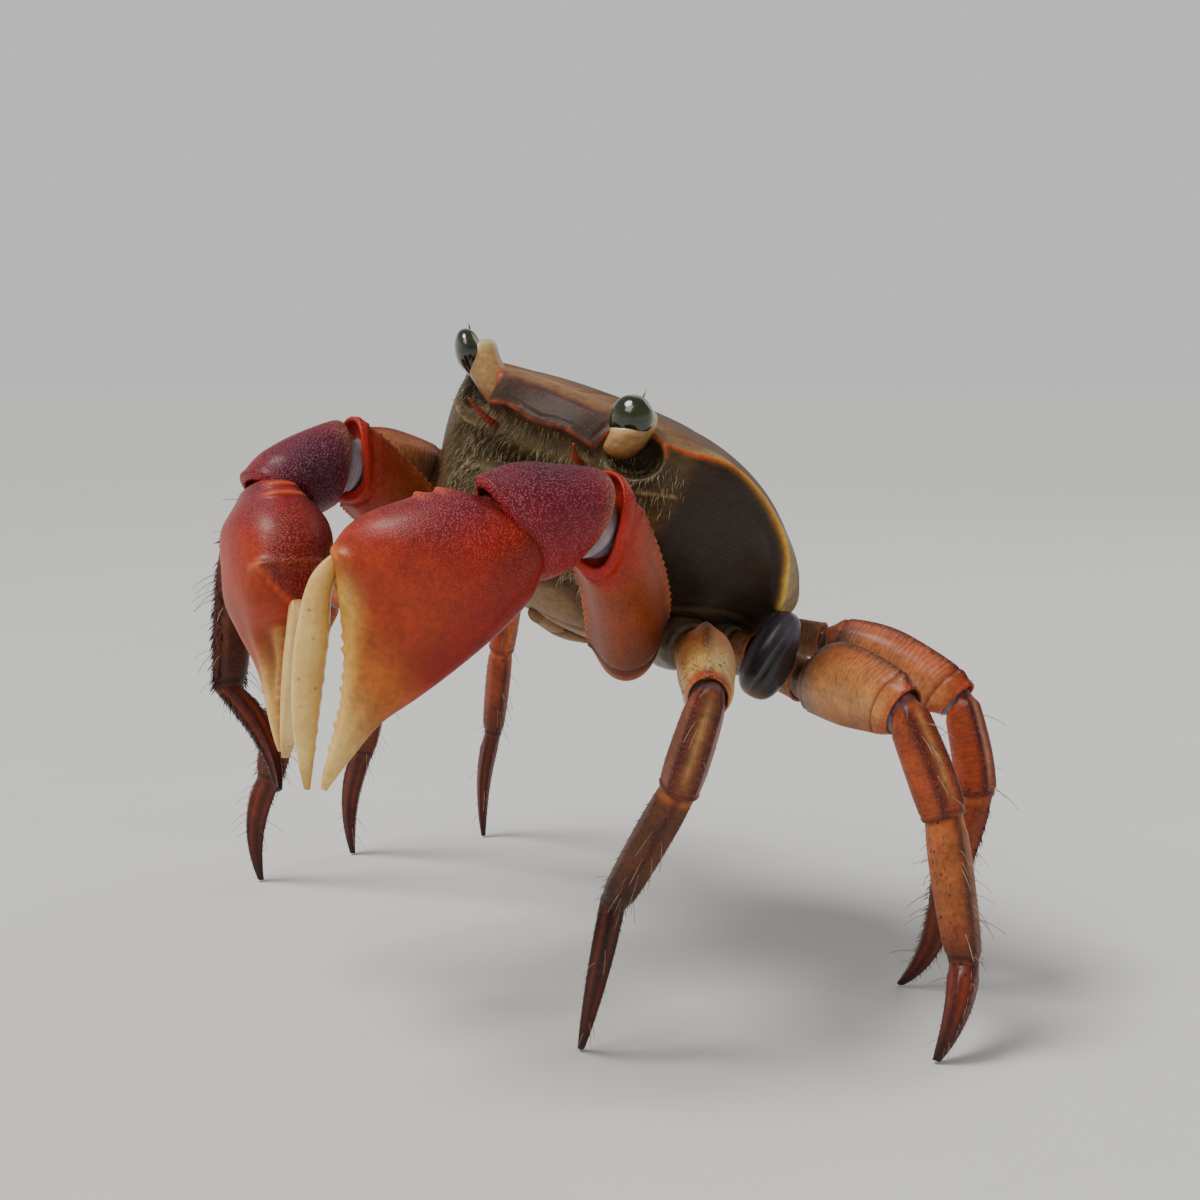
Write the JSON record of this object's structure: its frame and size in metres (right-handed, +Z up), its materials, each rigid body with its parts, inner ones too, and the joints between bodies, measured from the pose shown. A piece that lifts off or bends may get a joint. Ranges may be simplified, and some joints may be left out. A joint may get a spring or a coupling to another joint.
{
  "type": "red-clawed land crab",
  "caption": "Life-size land crab standing tall on its toes, claws bent down in front, body raised and leaning to one side.",
  "frame": {"origin": "on the floor, under the middle of the whole crab", "axes": "+Z up, the crab faces -Y, its left side is at +X"},
  "size_m": [0.1126, 0.0908, 0.0765],
  "materials": {
    "shell": "satin",
    "belly": "matt, hairy",
    "mouth": "matt, hairy",
    "stalk": "satin",
    "cornea": "gloss",
    "feeler": "satin",
    "claw": "satin, granular",
    "wrist": "satin, granular",
    "finger": "satin",
    "leg": "satin, bristly",
    "bud": "gloss"
  },
  "bodies": {
    "root": {"carapace": "shell", "thorax": "belly", "tail_flap": "belly", "left_eyestalk": "stalk", "right_eyestalk": "stalk", "left_cornea": "cornea", "right_cornea": "cornea", "left_antenna": "feeler", "right_antenna": "feeler", "left_mouth_door": "mouth", "right_mouth_door": "mouth", "left_claw_base": "leg", "left_claw_merus": "claw", "left_claw_carpus": "wrist", "left_claw_palm": "claw", "left_claw_dactyl": "finger", "right_claw_base": "leg", "right_claw_merus": "claw", "right_claw_carpus": "wrist", "right_claw_palm": "claw", "right_claw_dactyl": "finger", "left_leg_1_base": "leg", "left_leg_1_merus": "leg", "left_leg_1_carpus": "leg", "left_leg_1_propodus": "leg", "left_leg_1_dactyl": "leg", "left_leg_2_base": "leg", "left_leg_2_bud": "bud", "left_leg_3_base": "leg", "left_leg_3_merus": "leg", "left_leg_3_carpus": "leg", "left_leg_3_propodus": "leg", "left_leg_3_dactyl": "leg", "left_leg_4_base": "leg", "left_leg_4_merus": "leg", "left_leg_4_carpus": "leg", "left_leg_4_propodus": "leg", "left_leg_4_dactyl": "leg", "right_leg_1_base": "leg", "right_leg_1_merus": "leg", "right_leg_1_carpus": "leg", "right_leg_1_propodus": "leg", "right_leg_1_dactyl": "leg", "right_leg_2_base": "leg", "right_leg_2_merus": "leg", "right_leg_2_carpus": "leg", "right_leg_2_propodus": "leg", "right_leg_2_dactyl": "leg", "right_leg_3_base": "leg", "right_leg_3_merus": "leg", "right_leg_3_carpus": "leg", "right_leg_3_propodus": "leg", "right_leg_3_dactyl": "leg", "right_leg_4_base": "leg", "right_leg_4_merus": "leg", "right_leg_4_carpus": "leg", "right_leg_4_propodus": "leg", "right_leg_4_dactyl": "leg"}
  },
  "joints": []
}
